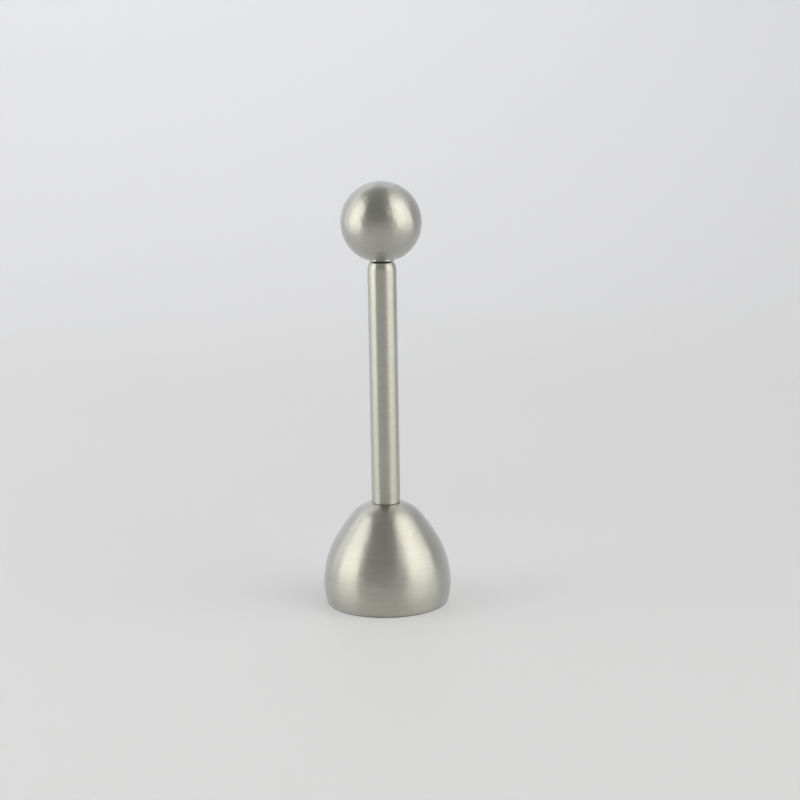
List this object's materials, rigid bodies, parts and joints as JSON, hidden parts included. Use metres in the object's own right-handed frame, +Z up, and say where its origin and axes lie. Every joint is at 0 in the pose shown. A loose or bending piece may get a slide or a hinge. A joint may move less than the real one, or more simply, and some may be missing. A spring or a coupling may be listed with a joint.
{
  "type": "egg topper",
  "caption": "Spring-loaded egg topper: a satin steel bell on a slim tube handle, with a ball on a plunger that is pulled up and let go.",
  "frame": {"origin": "centre of the bell's rim, on the surface that the tool stands on", "axes": "+Z up the tool's axis from the bell to the ball; the tool is turned round it, so X and Y are free"},
  "size_m": [0.0402, 0.0402, 0.1329],
  "materials": {
    "bell_steel": "satin, brushed round the axis",
    "tube_steel": "satin, brushed round the axis",
    "ball_steel": "satin",
    "rod_steel": "ground and polished",
    "hard_steel": "turned, hardened",
    "seat_steel": "blanked",
    "spring_steel": "drawn wire",
    "fastener_steel": "plain stainless",
    "bush_acetal": "moulded black acetal"
  },
  "bodies": {
    "bell_and_handle": {"bell_cup": "bell_steel", "handle_tube": "tube_steel", "guide_bush": "bush_acetal", "fixed_spring_seat": "seat_steel", "anvil": "hard_steel", "crown_washer": "fastener_steel", "lock_washer": "fastener_steel", "lock_nut": "fastener_steel", "return_spring": "spring_steel"},
    "spring_follower": {"moving_spring_seat": "seat_steel"},
    "plunger": {"ball_knob": "ball_steel", "plunger_rod": "rod_steel", "hammer": "hard_steel", "hammer_pin": "spring_steel"}
  },
  "joints": [
    {"name": "plunger_lift", "type": "slide", "parent": "bell_and_handle", "child": "spring_follower", "axis": [0, 0, 1], "range_m": [0, 0.016], "stiffness_N_per_m": 1400, "springref_m": -0.005, "deforming": ["return_spring"]},
    {"name": "plunger_spin", "type": "hinge", "parent": "spring_follower", "child": "plunger", "pos_m": [0, 0, 0.074], "axis": [0, 0, 1], "continuous": true}
  ]
}
